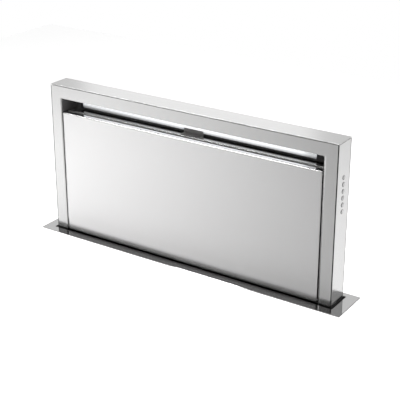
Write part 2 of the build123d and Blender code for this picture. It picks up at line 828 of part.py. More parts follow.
def button_board():
    """Circuit board behind the buttons, on four stand-offs."""
    margin = button_pitch * 0.8
    z_range = (button_heights[-1] - margin, button_heights[0] + margin)
    half = 2 * button_radius
    board = block((board_x - board_thickness, board_x), (-half, half), z_range)
    for z in (z_range[0] + stand_off_margin, z_range[1] - stand_off_margin):
        for y in (stand_off_margin - half, half - stand_off_margin):
            board += rod_x((board_x, skin_inner), y, z, stand_off_radius)
    return board


# ---- blower ----
box_half = box_width / 2
scroll_y = (box_back + box_front) / 2
scroll_x = -scroll_offset
sweep = 270.0 + tongue_angle
mouth_x = box_half - box_sheet - mouth_gap


def scroll_radius(turn):
    """Radius of the spiral after a turn, in degrees, away from the tongue."""
    return scroll_start + scroll_growth * turn / 360


scroll_drop = scroll_radius(90 + tongue_angle)
scroll_z = box_bottom + box_sheet + scroll_floor_gap + scroll_drop
mouth_low = scroll_start * sin(radians(tongue_angle))
mouth_high = scroll_radius(sweep)
collar_z = scroll_z + (mouth_low + mouth_high) / 2
flap_x = mouth_x + flap_setback


def scroll_profile(inset, mouth_extra):
    """Outline of the spiral and its mouth, in X and Z from the wheel's centre."""

    def at(turn):
        angle = radians(tongue_angle - turn)
        radius = scroll_radius(turn) - inset
        return (radius * cos(angle), radius * sin(angle))

    stretches = 4
    step = sweep / stretches
    edges = [ThreePointArc(at(i * step), at((i + 0.5) * step), at((i + 1) * step)) for i in range(stretches)]
    top = mouth_high - inset
    low = mouth_low + inset
    right = mouth_x - scroll_x + mouth_extra
    edges.append(Polyline(at(sweep), (right, top), (right, low), at(0)))
    return Plane.XZ * make_face(edges)


def bell_ring(outward):
    """Rounded inlet ring that guides air into the wheel, along Y from the scroll's face."""
    centre = inlet_radius + inlet_flare
    half_turn = sqrt(0.5)

    def quarter(radius):
        middle = (centre - radius * half_turn, radius * half_turn)
        return ThreePointArc((centre - radius, 0), middle, (centre, radius))

    inner = inlet_flare - sheet
    ends = [Line((centre, inlet_flare), (centre, inner)), Line((centre - inner, 0), (inlet_radius, 0))]
    section = make_face([quarter(inlet_flare), quarter(inner), *ends])
    ring = revolve(section, Axis.Y)
    return ring if outward > 0 else mirror(ring, Plane.XZ)


def blower_scroll():
    """Spiral casing with an inlet on both faces, open at its mouth."""
    casing = extrude(scroll_profile(0, 0), scroll_width / 2, both=True)
    foot_z = (box_bottom + box_sheet - scroll_z, scroll_start / 2 - scroll_drop)
    for x in (-scroll_start / 2, scroll_start / 2):
        foot_x = (x - scroll_foot_width / 2, x + scroll_foot_width / 2)
        casing += block(foot_x, (-scroll_width / 2, scroll_width / 2), foot_z)
    casing -= extrude(scroll_profile(scroll_wall, 1), scroll_width / 2 - scroll_wall, both=True)
    casing -= Rot(90, 0, 0) * Cylinder(inlet_radius, 2 * scroll_width)
    for outward in (-1, 1):
        casing += Pos(0, outward * scroll_width / 2, 0) * bell_ring(outward)
    return Pos(scroll_x, scroll_y, scroll_z) * casing


def blower_wheel():
    """Double-inlet wheel: forward-curved blades on a middle disc, tied by a ring at each end."""
    inner_radius = wheel_radius - blade_depth
    tip_radius = wheel_radius - blade_tip_gap
    lean = radians(blade_lean)
    start = (inner_radius, 0)
    end = (tip_radius * cos(lean), tip_radius * sin(lean))
    belly = ((start[0] + end[0]) / 2 + blade_belly[0], (start[1] + end[1]) / 2 + blade_belly[1])
    curve = ThreePointArc(start, belly, end)
    blade_wall = offset(curve, amount=blade_thickness, side=Side.LEFT, closed=True)
    blade = extrude(Plane.XZ * make_face(blade_wall.edges()), wheel_width / 2, both=True)
    blades = [Rot(0, 360 / blade_count * i, 0) * blade for i in range(blade_count)]
    disc = extrude(Plane.XZ * Circle(wheel_radius), scroll_wall / 2, both=True)
    hub = rod_y((-hub_length / 2, hub_length / 2), 0, 0, 3 * motor_shaft_radius)
    ring_face = Plane.XZ * (Circle(wheel_radius) - Circle(inner_radius + blade_depth / 3))
    ring = extrude(ring_face, wheel_ring_width / 2, both=True)
    ring_y = (wheel_width - wheel_ring_width) / 2
    ends = [Pos(0, y, 0) * ring for y in (-ring_y, ring_y)]
    wheel = disc + [hub, *ends, *blades]
    wheel -= rod_y((-hub_length, hub_length), 0, 0, motor_shaft_radius + running_fit)
    return Pos(scroll_x, scroll_y, scroll_z) * wheel


def blower_motor():
    """Motor can that reaches into the wheel, with its shaft in the wheel's hub."""
    back_end = scroll_y - motor_setback
    can = rod_y((back_end - motor_length, back_end), scroll_x, scroll_z, motor_radius)
    can = fillet(can.edges().filter_by(GeomType.CIRCLE), 6.0)
    shaft = rod_y((back_end - 1, scroll_y + motor_shaft_reach), scroll_x, scroll_z, motor_shaft_radius)
    return can + shaft


def motor_bracket():
    """Three-armed ring that carries the motor on the scroll's front face."""
    face_y = scroll_y - scroll_width / 2
    ring_y = (face_y - motor_stand_off - motor_ring_thickness, face_y - motor_stand_off)
    ring = rod_y(ring_y, 0, 0, motor_radius + motor_ring_width)
    foot_radius = scroll_start + 2
    across = (-motor_arm_width / 2, motor_arm_width / 2)
    for i in range(3):
        turn = Rot(0, 120 * i + 30, 0)
        ring += turn * block((motor_radius, foot_radius), ring_y, across)
        ring += turn * block((foot_radius - motor_ring_width, foot_radius), (ring_y[1] - 1, face_y), across)
    ring -= rod_y((ring_y[0] - 1, ring_y[1] + 1), 0, 0, motor_radius + running_fit)
    return Pos(scroll_x, 0, scroll_z) * ring


def blower_box():
    """Sheet-steel box on the chassis front, flanged at the back and open to the front."""
    middle = (box_bottom + box_top) / 2
    outer = RectangleRounded(box_width, box_height, 3.0)
    inner = RectangleRounded(box_width - 2 * box_sheet, box_height - 2 * box_sheet, 2.0)
    walls = Pos(0, box_back, middle) * extrude(Plane.XZ * (outer - inner), box_depth)
    flange_outer = RectangleRounded(box_width + 2 * box_flange, box_height + 2 * box_flange, 3.0)
    flange = Pos(0, box_back, middle) * extrude(Plane.XZ * (flange_outer - inner), box_sheet)
    hole = rod_x((box_half - 4, box_half + 4), scroll_y, collar_z, collar_radius + skin_gap)
    return walls + flange - hole


def blower_cover():
    """Pan-shaped cover over the front of the box."""
    middle = (box_bottom + box_top) / 2
    grow = 2 * (box_sheet + seat_gap)
    outer = RectangleRounded(box_width + grow, box_height + grow, 4.0)
    inner = RectangleRounded(box_width + grow - 2 * box_sheet, box_height + grow - 2 * box_sheet, 3.0)
    plate = extrude(Plane.XZ * outer, box_sheet)
    rim = extrude(Plane.XZ * (outer - inner), return_depth, dir=(0, 1, 0))
    cover = Pos(0, box_front - seat_gap, middle) * (plate + rim)
    front_edges = cover.faces().sort_by(Axis.Y)[0].outer_wire().edges()
    return fillet(front_edges, 0.6)


def outlet_collar():
    """Round duct collar: a spigot, a flange on the box and the pin for the flaps."""
    start_x = mouth_x + collar_gap
    end_x = start_x + collar_length
    tube = rod_x((start_x, end_x), scroll_y, collar_z, collar_radius)
    tube += rod_x((box_half, box_half + collar_wall), scroll_y, collar_z, collar_radius + collar_flange)
    tube -= rod_x((start_x - 1, end_x + 1), scroll_y, collar_z, collar_radius - collar_wall)
    reach = collar_radius - collar_wall / 2
    pin = rod_z((collar_z - reach, collar_z + reach), flap_x, scroll_y, flap_pin_radius)
    return tube + pin


def flap(side):
    """Half-round flap on the pin; side is -1 for the front one and 1 for the back one."""
    radius = collar_radius - collar_wall - 1
    barrel_radius = 2 * flap_pin_radius
    clear = barrel_radius + 2 * run_clearance
    disc = extrude(Plane.YZ * Circle(radius), flap_thickness / 2, both=True)
    keep_y = sorted((side * clear, side * 2 * radius))
    half_disc = disc & block((-1, 1), keep_y, (-2 * radius, 2 * radius))
    pieces = [half_disc]
    for k in range(4):
        if (k % 2 == 0) == (side < 0):
            low = (k - 2) * (flap_knuckle + 1) + 0.5
            pieces.append(rod_z((low, low + flap_knuckle), 0, 0, barrel_radius))
            web_y = sorted((side * (flap_pin_radius + 0.5), side * (clear + 1)))
            web_z = (low, low + flap_knuckle)
            pieces.append(block((-flap_thickness / 2, flap_thickness / 2), web_y, web_z))
    leaf = pieces[0] + pieces[1:]
    leaf -= Cylinder(flap_pin_radius + running_fit, 4 * radius)
    return Pos(flap_x, scroll_y, collar_z) * leaf


# ---- controls and fixings ----
control_x = (control_offset, control_offset + control_width)
control_z = (-control_drop - control_height, -control_drop)
gland_x = (control_x[0] + control_x[1]) / 2
gland_y = -chassis_front - control_depth / 2


def control_box():
    """Moulded box on the chassis front for the power supply, open to the front."""
    case = block(control_x, (-chassis_front - control_depth, -chassis_front), control_z)
    case = fillet(case.edges().filter_by(Axis.Y), control_corner)
    case = offset(case, -control_wall, openings=case.faces().sort_by(Axis.Y)[0])
    mouth = rod_z((control_z[0] - 1, control_z[0] + 2 * control_wall), gland_x, gland_y, gland_neck_radius)
    return case - mouth


def control_lid():
    """Lid with a lip inside the box."""
    y_face = -chassis_front - control_depth
    lid = block(control_x, (y_face - control_wall, y_face), control_z)
    lid = fillet(lid.edges().filter_by(Axis.Y), control_corner)
    lid = fillet(lid.faces().sort_by(Axis.Y)[0].outer_wire().edges(), 1.0)
    inset = control_wall + seat_gap
    lip_x = (control_x[0] + inset, control_x[1] - inset)
    lip_z = (control_z[0] + inset, control_z[1] - inset)
    lip = block(lip_x, (y_face, y_face + control_lip), lip_z)
    lip = fillet(lip.edges().filter_by(Axis.Y), control_corner / 2)
    return lid + lip


def cable_gland():
    """Gland for the power lead, under the box: a nut, a domed nose and a bore."""
    top = control_z[0]
    nut = extrude(RegularPolygon(gland_radius + 2, 6), -gland_nut_height)
    nut = Pos(gland_x, gland_y, top) * nut
    neck_radius = gland_neck_radius - pin_clearance
    neck = rod_z((top, top + 3 * control_wall), gland_x, gland_y, neck_radius)
    nose = rod_z((top - gland_length, top - gland_nut_height), gland_x, gland_y, gland_radius)
    nose = fillet(nose.edges().sort_by(Axis.Z)[0], 3.0)
    bore = rod_z((top - gland_length - 1, top + gland_length), gland_x, gland_y, gland_bore)
    return nut + neck + nose - bore


def pan_screw(x, y, z):
    """Domed screw head with a cross recess, on a face that looks to the front."""
    head = rod_y((y - screw_head_height, y), x, z, screw_head_radius)
    head = fillet(head.edges().filter_by(GeomType.CIRCLE).sort_by(Axis.Y)[0], screw_head_height * 0.7)
    for size in ((screw_head_radius, 0.9), (0.9, screw_head_radius)):
        head -= Pos(x, y - screw_head_height, z) * Box(size[0], screw_head_height, size[1])
    return head


def cover_screws():
    """Screw heads round the blower cover and at the corners of the control lid."""
    y_cover = box_front - seat_gap - box_sheet
    x_reach = box_half - cover_screw_margin
    z_reach = (box_top - box_bottom) / 2 - cover_screw_margin
    middle = (box_top + box_bottom) / 2
    spots = [(x, z) for x in (-x_reach, 0, x_reach) for z in (-z_reach, z_reach)]
    spots += [(x, 0) for x in (-x_reach, x_reach)]
    screws = [pan_screw(x, y_cover, middle + z) for x, z in spots]
    y_lid = -chassis_front - control_depth - control_wall
    margin = control_screw_margin
    for x in (control_x[0] + margin, control_x[1] - margin):
        for z in (control_z[0] + margin, control_z[1] - margin):
            screws.append(pan_screw(x, y_lid, z))
    return screws


# ---- write every sub-part ----
def both(make):
    """One piece for each side."""
    return [make(sign) for sign in side_signs.values()]


save(trim_plate(), "trim_plate")
save(wiper_seal(), "wiper_seal")
save(chassis_front_sheet(), "chassis_front")
save(chassis_back_sheet(), "chassis_back")
save(chassis_base(), "chassis_base")
save(both(floor_bracket), "floor_brackets")
save([worktop_clamp(sign, y) for sign, y in clamp_places()], "worktop_clamps")
save([clamp_screw(sign, y) for sign, y in clamp_places()], "clamp_screws")
save(both(chassis_side_sheet), "chassis_sides")
save(both(guide_rail), "guide_rails")
save(both(belt), "lift_belts")
save(both(drive_pulley), "drive_pulleys")
save(both(idler_pulley), "idler_pulleys")
save(both(idler_bracket), "idler_brackets")
save(both(shaft_bearing), "shaft_bearings")
save(drive_shaft(), "drive_shaft")
save(lift_gearbox(), "lift_gearbox")
save(lift_motor(), "lift_motor")
switch_heights = (-tower_skirt + foot_beam_height + 10, -tower_skirt - tower_rise)
save([limit_switch(z) for z in switch_heights], "limit_switches")

for name, sign in side_signs.items():
    save(side_skin(sign), f"tower_side_{name}")
save(tower_cap(), "tower_cap")
save(front_frame(), "front_frame")
save(back_skin(), "tower_back")
save(foot_beam(), "foot_beam")
glide_tops = (-rail_top_drop - 2, -tower_skirt + 2 + glide_height)
save([glide_block(sign, top) for sign in (-1, 1) for top in glide_tops], "glide_blocks")
save(both(belt_clamp), "belt_clamps")
save(intake_lining(), "intake_lining")
save(baffle_ledge(), "baffle_ledge")
save(filter_sill(), "filter_sill")
save(both(filter_frame), "filter_frames")
save(both(filter_mesh), "filter_meshes")
save(centre_post(), "centre_post")
save(light_profile(), "light_profile")
save(light_diffuser(), "light_diffuser")
save([light_pad(x) for x in (-light_width * 0.4, light_width * 0.4)], "light_pads")
save(centre_bracket(), "centre_bracket")
save(both(hinge_pin), "panel_pins")
save(both(panel_magnet), "panel_magnets")
save(front_panel(), "front_panel")
save(button_board(), "button_board")
for name, z in zip(button_names, button_heights):
    save(push_button(z), f"button_{name}")

save(blower_box(), "blower_box")
save(blower_cover(), "blower_cover")
save(blower_scroll(), "blower_scroll")
save(blower_wheel(), "blower_wheel")
save(blower_motor(), "blower_motor")
save(motor_bracket(), "motor_bracket")
save(outlet_collar(), "outlet_collar")
save(flap(-1), "flap_front")
save(flap(1), "flap_back")
save(control_box(), "control_box")
save(control_lid(), "control_lid")
save(cable_gland(), "cable_gland")
save(cover_screws(), "cover_screws")
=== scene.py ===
import math

import bmesh
import bpy
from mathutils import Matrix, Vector


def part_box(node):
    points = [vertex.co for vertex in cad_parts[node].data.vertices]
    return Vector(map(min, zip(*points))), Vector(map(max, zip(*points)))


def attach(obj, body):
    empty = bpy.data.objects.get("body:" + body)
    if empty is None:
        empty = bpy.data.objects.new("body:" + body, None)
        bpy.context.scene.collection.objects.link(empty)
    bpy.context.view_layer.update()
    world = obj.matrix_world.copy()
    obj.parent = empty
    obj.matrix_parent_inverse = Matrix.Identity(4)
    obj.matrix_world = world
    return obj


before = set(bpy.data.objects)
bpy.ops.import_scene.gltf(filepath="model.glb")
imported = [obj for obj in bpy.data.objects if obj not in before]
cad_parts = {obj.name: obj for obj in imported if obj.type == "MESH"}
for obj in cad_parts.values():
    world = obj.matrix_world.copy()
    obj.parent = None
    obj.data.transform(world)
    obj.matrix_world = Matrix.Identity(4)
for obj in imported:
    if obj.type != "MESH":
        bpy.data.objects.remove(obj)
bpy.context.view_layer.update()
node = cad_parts
scene = bpy.context.scene


# ---- worktop trim plate ----
# A strip of 2 mm stainless steel with a cut-out for the tower, mirror polished and lightly chamfered at its
# rim. It lies on the worktop and carries the chassis that hangs below.
def new_group(name, inputs, outputs=("Colour", "Roughness", "Height")):
    """A shader node group with named inputs and outputs: Colour is a colour, the others are numbers."""
    group = bpy.data.node_groups.new(name, "ShaderNodeTree")
    kinds = {"Colour": "NodeSocketColor"}
    for label, default in inputs.items():
        kind = kinds.get(label, "NodeSocketFloat")
        socket = group.interface.new_socket(label, in_out="INPUT", socket_type=kind)
        socket.default_value = default
    for label in outputs:
        kind = kinds.get(label, "NodeSocketFloat")
        group.interface.new_socket(label, in_out="OUTPUT", socket_type=kind)
    return group, group.nodes.new("NodeGroupInput"), group.nodes.new("NodeGroupOutput")


def add(tree, kind, values=(), **settings):
    """A node with its settings, and values for its inputs: constants, or outputs to link from."""
    made = tree.nodes.new(kind)
    for key, value in settings.items():
        setattr(made, key, value)
    for key, value in dict(values).items():
        socket = made.inputs[key]
        if isinstance(value, bpy.types.NodeSocket):
            tree.links.new(value, socket)
        else:
            socket.default_value = value
    return made


def own_place(tree):
    """Where a point of the surface is, in metres."""
    return add(tree, "ShaderNodeTexCoord").outputs["Object"]


def stretched(tree, place, stretch):
    """A place scaled by three factors."""
    return add(tree, "ShaderNodeMapping", {"Vector": place, "Scale": stretch}).outputs["Vector"]


def noise(tree, place, scale, detail, roughness=0.5):
    """A cloudy value between 0 and 1."""
    values = {"Vector": place, "Scale": scale, "Detail": detail, "Roughness": roughness}
    return add(tree, "ShaderNodeTexNoise", values).outputs["Fac"]


def maths(tree, operation, first, second=0.0, **settings):
    """One arithmetic step on one or two values."""
    return add(tree, "ShaderNodeMath", {0: first, 1: second}, operation=operation, **settings).outputs[0]


def drift(tree, first, second, amount):
    """Two noises as one number round zero, times an amount."""
    both = maths(tree, "ADD", first, second)
    return maths(tree, "MULTIPLY", maths(tree, "SUBTRACT", both, 1.0), amount)


def scaled(tree, colour, factor):
    """A colour times a number."""
    return add(tree, "ShaderNodeVectorMath", {0: colour, "Scale": factor}, operation="SCALE").outputs[0]


def close_group(group, given, out, tone_step, rough_step, height):
    """End a group: its colour and roughness, each moved by a step that varies, and its height."""
    tone = maths(group, "ADD", tone_step, 1.0)
    rough = maths(group, "ADD", given.outputs["Roughness"], rough_step, use_clamp=True)
    group.links.new(scaled(group, given.outputs["Colour"], tone), out.inputs["Colour"])
    group.links.new(rough, out.inputs["Roughness"])
    group.links.new(height, out.inputs["Height"])
    return group


def grain_group(name, stretch_fine, stretch_broad):
    """Brushed grain: fine scratches along one axis, broader drifts in tone and gloss, and smudges."""
    defaults = {"Colour": (0.6, 0.6, 0.6, 1.0), "Roughness": 0.3, "Spread": 0.1, "Tone": 0.1, "Smudge": 0.05}
    group, given, out = new_group(name, defaults)
    place = own_place(group)
    fine = noise(group, stretched(group, place, stretch_fine), scale=1.0, detail=3.0, roughness=0.6)
    broad = noise(group, stretched(group, place, stretch_broad), scale=1.0, detail=2.0)
    blotch = noise(group, place, scale=9.0, detail=4.0, roughness=0.55)
    smudge = maths(group, "MULTIPLY", maths(group, "SUBTRACT", blotch, 0.5), given.outputs["Smudge"])
    rough_step = maths(group, "ADD", drift(group, fine, broad, given.outputs["Spread"]), smudge)
    tone_step = drift(group, fine, broad, given.outputs["Tone"])
    return close_group(group, given, out, tone_step, rough_step, fine)


grain_along = grain_group("grain_along", (9.0, 1400.0, 1400.0), (2.5, 160.0, 160.0))
grain_upright = grain_group("grain_upright", (1400.0, 1400.0, 9.0), (160.0, 160.0, 2.5))


def new_material(name):
    """A new material with its tree and its Principled shader."""
    material = bpy.data.materials.new(name)
    material.use_nodes = True
    return material, material.node_tree, material.node_tree.nodes["Principled BSDF"]


def raised(tree, height, strength, depth):
    """The normal of a surface raised by a height."""
    values = {"Strength": strength, "Distance": depth, "Height": height}
    return add(tree, "ShaderNodeBump", values).outputs["Normal"]


def patterned(name, pattern, values, bump, depth, metallic):
    """A material whose pattern group sets its colour and its gloss, and raises a shallow bump."""
    material, tree, shader = new_material(name)
    group = add(tree, "ShaderNodeGroup", values, node_tree=pattern)
    tree.links.new(group.outputs["Colour"], shader.inputs["Base Color"])
    tree.links.new(group.outputs["Roughness"], shader.inputs["Roughness"])
    tree.links.new(raised(tree, group.outputs["Height"], bump, depth), shader.inputs["Normal"])
    shader.inputs["Metallic"].default_value = metallic
    return material


def brushed(name, grain, colour, roughness, spread=0.05, tone=0.02, smudge=0.03, bump=0.02):
    """Brushed metal."""
    values = {"Colour": (*colour, 1.0), "Roughness": roughness}
    values.update({"Spread": spread, "Tone": tone, "Smudge": smudge})
    return patterned(name, grain, values, bump, depth=0.0002, metallic=1.0)


def dress(material, *names):
    """Give a finish to every slot of these CAD pieces."""
    for name in names:
        for held in node[name].material_slots:
            held.material = material


polished_steel = brushed("polished_steel", grain_along, (0.74, 0.738, 0.736), roughness=0.05, spread=0.02,
                         tone=0.01, bump=0.004)
dress(polished_steel, "trim_plate")


# ---- wiper seal ----
# A frame moulded from black rubber, seated under the plate round its cut-out.
# Its lip wipes the tower as it goes down.
def speckle_group():
    """The spark-eroded grain of a mould: fine pits, over a slow cloud of tone and gloss."""
    defaults = {"Colour": (0.05, 0.05, 0.05, 1.0), "Roughness": 0.5, "Speckle": 0.12, "Scale": 900.0}
    group, given, out = new_group("moulded_grain", defaults)
    place = own_place(group)
    pits = noise(group, place, scale=given.outputs["Scale"], detail=2.0)
    cloud = noise(group, place, scale=14.0, detail=4.0)
    step = drift(group, pits, cloud, given.outputs["Speckle"])
    return close_group(group, given, out, step, step, pits)


moulded_grain = speckle_group()


def moulded(name, colour, roughness, speckle=0.1, scale=600.0, bump=0.06, metallic=0.0):
    """Moulded plastic or rubber, smooth paint or a cast skin."""
    values = {"Colour": (*colour, 1.0), "Roughness": roughness, "Speckle": speckle, "Scale": scale}
    return patterned(name, moulded_grain, values, bump, depth=0.0003, metallic=metallic)


seal_rubber = moulded("seal_rubber", (0.012, 0.012, 0.012), roughness=0.75, speckle=0.2, scale=500.0,
                      bump=0.2)
dress(seal_rubber, "wiper_seal")


# ---- chassis ----
# A narrow box of folded zinc-coated sheet that hangs from the plate into the cabinet below, riveted at its
# corners. Beads are pressed into its front and back skins, and it stands on brackets with bolt holes.
def spangle_group():
    """Zinc spangle: crystal flakes of slightly different tone and gloss."""
    defaults = {"Colour": (0.6, 0.62, 0.63, 1.0), "Roughness": 0.38, "Contrast": 0.3, "Scale": 60.0}
    group, given, out = new_group("zinc_spangle", defaults)
    place = own_place(group)
    wander = add(group, "ShaderNodeTexNoise", {"Vector": place, "Scale": 40.0, "Detail": 2.0})
    bent = add(group, "ShaderNodeMixRGB", {"Fac": 0.02, "Color1": place, "Color2": wander.outputs["Color"]})
    flakes = add(group, "ShaderNodeTexVoronoi", {"Vector": bent.outputs[0], "Scale": given.outputs["Scale"]})
    shade = add(group, "ShaderNodeSeparateColor", {"Color": flakes.outputs["Color"]}).outputs[0]
    cloud = noise(group, place, scale=5.0, detail=5.0, roughness=0.6)
    step = drift(group, shade, cloud, given.outputs["Contrast"])
    gloss_share = 0.4
    rough_step = maths(group, "MULTIPLY", step, gloss_share)
    return close_group(group, given, out, step, rough_step, wander.outputs["Fac"])


zinc_spangle = spangle_group()


def zinc_coated(name, colour, roughness, contrast, scale):
    """Zinc-coated steel."""
    values = {"Colour": (*colour, 1.0), "Roughness": roughness, "Contrast": contrast, "Scale": scale}
    return patterned(name, zinc_spangle, values, bump=0.1, depth=0.0002, metallic=1.0)


galvanised = zinc_coated("galvanised", (0.58, 0.6, 0.61), roughness=0.36, contrast=0.16, scale=110.0)
dress(galvanised, "chassis_front", "chassis_back", "chassis_sides", "chassis_base")
bright_zinc = zinc_coated("bright_zinc", (0.62, 0.63, 0.64), roughness=0.3, contrast=0.12, scale=200.0)
dress(bright_zinc, "floor_brackets", "worktop_clamps", "clamp_screws")


def new_piece(name, mesh, body, material):
    """Link a mesh as a piece that rides on a body."""
    piece = bpy.data.objects.new(name, mesh)
    scene.collection.objects.link(piece)
    mesh.materials.append(material)
    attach(piece, body)
    return piece


sheet = 0.0012
rivet_radius = 0.0026
rivet_proud = 0.0011
rivet_dome = [(1.0, 0.0), (1.0, 0.25), (0.88, 0.6), (0.6, 0.88), (0.3, 0.98)]
rivet_sides = 16


def rivets(name, places, outward):
    """Domed rivet heads on one flat face, which looks along a direction.

    The dome is a profile in shares of the head's radius and of its height."""
    turn = Vector((0.0, 0.0, 1.0)).rotation_difference(Vector(outward))
    work = bmesh.new()
    for place in places:
        loops = []
        for share, rise in rivet_dome:
            loop = []
            for i in range(rivet_sides):
                angle = 2 * math.pi * i / rivet_sides
                reach = share * rivet_radius
                spot = Vector((reach * math.cos(angle), reach * math.sin(angle), rise * rivet_proud))
                loop.append(work.verts.new(turn @ spot + Vector(place)))
            loops.append(loop)
        for lower, upper in zip(loops, loops[1:]):
            for i in range(rivet_sides):
                after = (i + 1) % rivet_sides
                work.faces.new((lower[i], lower[after], upper[after], upper[i]))
        work.faces.new(loops[-1])
    mesh = bpy.data.meshes.new(name)
    work.to_mesh(mesh)
    work.free()
    mesh.polygons.foreach_set("use_smooth", [True] * len(mesh.polygons))
    return new_piece(name, mesh, "chassis", bright_zinc)


def along(start, end, count):
    """Evenly spaced values between two ends."""
    return [start + (end - start) * i / (count - 1) for i in range(count)]


skin_low, skin_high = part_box("chassis_front")
wall_low, wall_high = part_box("chassis_sides")
rivet_end = 0.03
rivet_inset = 0.008
corner_x = wall_high.x - rivet_inset
corner_heights = along(skin_low.z + rivet_end, skin_high.z - rivet_end, 9)
for side, face, outward in (("front", wall_low.y - sheet, -1), ("back", wall_high.y + sheet, 1)):
    spots = [(sign * corner_x, face, z) for sign in (-1, 1) for z in corner_heights]
    rivets(side + "_rivets", spots, (0, outward, 0))

rail_low, rail_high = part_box("guide_rails")
rail_middle = (rail_low.y + rail_high.y) / 2
top_rivet, foot_rivet = -0.12, -0.52
for side, sign in (("left", -1), ("right", 1)):
    spots = [(sign * wall_high.x, rail_middle, z) for z in along(top_rivet, foot_rivet, 5)]
    rivets("rail_rivets_" + side, spots, (sign, 0, 0))


# ---- lift ----
# Rails, belts, pulleys and a cross shaft driven by a worm gearbox raise and lower the tower.
# The rails are bright rolled steel, the pulleys turned aluminium and the belts black rubber.
dress(bright_zinc, "guide_rails", "idler_brackets", "drive_shaft")
turned_aluminium = brushed("turned_aluminium", grain_along, (0.66, 0.66, 0.67), roughness=0.32, spread=0.08,
                           tone=0.06, smudge=0.05, bump=0.05)
dress(turned_aluminium, "drive_pulleys", "idler_pulleys")
belt_rubber = moulded("belt_rubber", (0.02, 0.02, 0.02), roughness=0.65, speckle=0.2, scale=700.0, bump=0.2)
dress(belt_rubber, "lift_belts")
cast_case = moulded("cast_case", (0.42, 0.43, 0.44), roughness=0.5, speckle=0.15, bump=0.3, metallic=0.9)
dress(cast_case, "lift_gearbox", "belt_clamps")
motor_paint = moulded("motor_paint", (0.05, 0.05, 0.055), roughness=0.38, scale=400.0, bump=0.08)
dress(motor_paint, "lift_motor", "blower_motor")
bush_bronze = moulded("bush_bronze", (0.5, 0.32, 0.14), roughness=0.45, speckle=0.15, scale=900.0, bump=0.1,
                      metallic=1.0)
dress(bush_bronze, "shaft_bearings")
black_plastic = moulded("black_plastic", (0.018, 0.018, 0.019), roughness=0.48, speckle=0.15, scale=800.0,
                        bump=0.12)
dress(black_plastic, "limit_switches")
nylon = moulded("nylon", (0.82, 0.81, 0.77), roughness=0.45, speckle=0.08, scale=500.0)
dress(nylon, "glide_blocks")


# ---- tower skin ----
# Sides, front frame, back and a flat cap, folded from stainless sheet and brushed: the sides upright, the
# rest along their length. Thin dark seams show where they meet.
steel_tone = (0.76, 0.758, 0.756)
satin_steel = brushed("satin_steel", grain_along, steel_tone, roughness=0.2)
dress(satin_steel, "tower_back", "tower_cap")
side_steel = brushed("side_steel", grain_upright, steel_tone, roughness=0.18, bump=0.015)
dress(side_steel, "tower_side_left", "tower_side_right")
dress(galvanised, "foot_beam")
frame_steel = brushed("frame_steel", grain_along, (0.71, 0.708, 0.706), roughness=0.2)
dress(frame_steel, "front_frame")


def axes(tree, place):
    """The three numbers of a place."""
    return add(tree, "ShaderNodeSeparateXYZ", {0: place}).outputs


def mapped(tree, value, source, target, smooth=False):
    """A value carried from one range to another and held at its ends."""
    values = {0: value, 1: source[0], 2: source[1], 3: target[0], 4: target[1]}
    kind = "SMOOTHSTEP" if smooth else "LINEAR"
    return add(tree, "ShaderNodeMapRange", values, interpolation_type=kind).outputs[0]


def fed_by(shader, label):
    """The output that feeds one of a shader's inputs."""
    return shader.inputs[label].links[0].from_socket


def rolled_edge_group():
    """The roll of a sheet's upright edges: a height that rises over a width on either side of them."""
    defaults = {"Edge": 0.376, "Top": 0.368, "Width": 0.003, "Drop": 0.0015}
    group, given, out = new_group("edge_roll", defaults, ["Height"])
    at = axes(group, own_place(group))
    beyond = maths(group, "SUBTRACT", maths(group, "ABSOLUTE", at["X"]), given.outputs["Edge"])
    fall = mapped(group, maths(group, "ABSOLUTE", beyond), (0.0, given.outputs["Width"]),
                  (0.0, given.outputs["Drop"]), smooth=True)
    over = maths(group, "GREATER_THAN", at["Z"], given.outputs["Top"])
    flat = maths(group, "MULTIPLY", over, given.outputs["Drop"])
    group.links.new(maths(group, "MAXIMUM", fall, flat), out.inputs["Height"])
    return group


edge_roll = rolled_edge_group()


def roll_edges(material, edge, top, width, drop):
    """Round a sheet's upright edges at this distance from the middle, up to a height, under its grain."""
    tree = material.node_tree
    group = add(tree, "ShaderNodeGroup", {"Edge": edge, "Top": top, "Width": width, "Drop": drop},
                node_tree=edge_roll)
    rounded = raised(tree, group.outputs["Height"], strength=1.0, depth=1.0)
    grain = fed_by(tree.nodes["Principled BSDF"], "Normal").node
    tree.links.new(rounded, grain.inputs["Normal"])


def paint_foot_shade(material, low, high, darkest):
    """Darken a finish towards its foot, between two heights: painted shade."""
    tree = material.node_tree
    shader = tree.nodes["Principled BSDF"]
    share = mapped(tree, axes(tree, own_place(tree))["Z"], (low, high), (darkest, 1.0))
    tree.links.new(scaled(tree, fed_by(shader, "Base Color"), share), shader.inputs["Base Color"])


lining_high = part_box("intake_lining")[1]
opening_edge = lining_high.x + 0.0003
opening_top = lining_high.z - 0.0027
roll_edges(frame_steel, opening_edge, opening_top, width=0.004, drop=0.0018)
# The front frame is darkened to near black below the plate's top: painted shade in the gap round the cut-out.
paint_foot_shade(frame_steel, low=-0.0005, high=0.0045, darkest=0.04)


def bars(name, boxes, body, material, round_edge=0.0003):
    """Straight bars with rounded edges, each between two corners, in one mesh."""
    work = bmesh.new()
    for low, high in boxes:
        made = bmesh.ops.create_cube(work, size=1.0)["verts"]
        middle = (Vector(low) + Vector(high)) / 2
        size = Vector(high) - Vector(low)
        for corner in made:
            corner.co = Vector((corner.co.x * size.x, corner.co.y * size.y, corner.co.z * size.z)) + middle
    bmesh.ops.bevel(work, geom=work.edges[:], offset=round_edge, segments=2, affect="EDGES", profile=0.5)
    mesh = bpy.data.meshes.new(name)
    work.to_mesh(mesh)
    work.free()
    return new_piece(name, mesh, body, material)


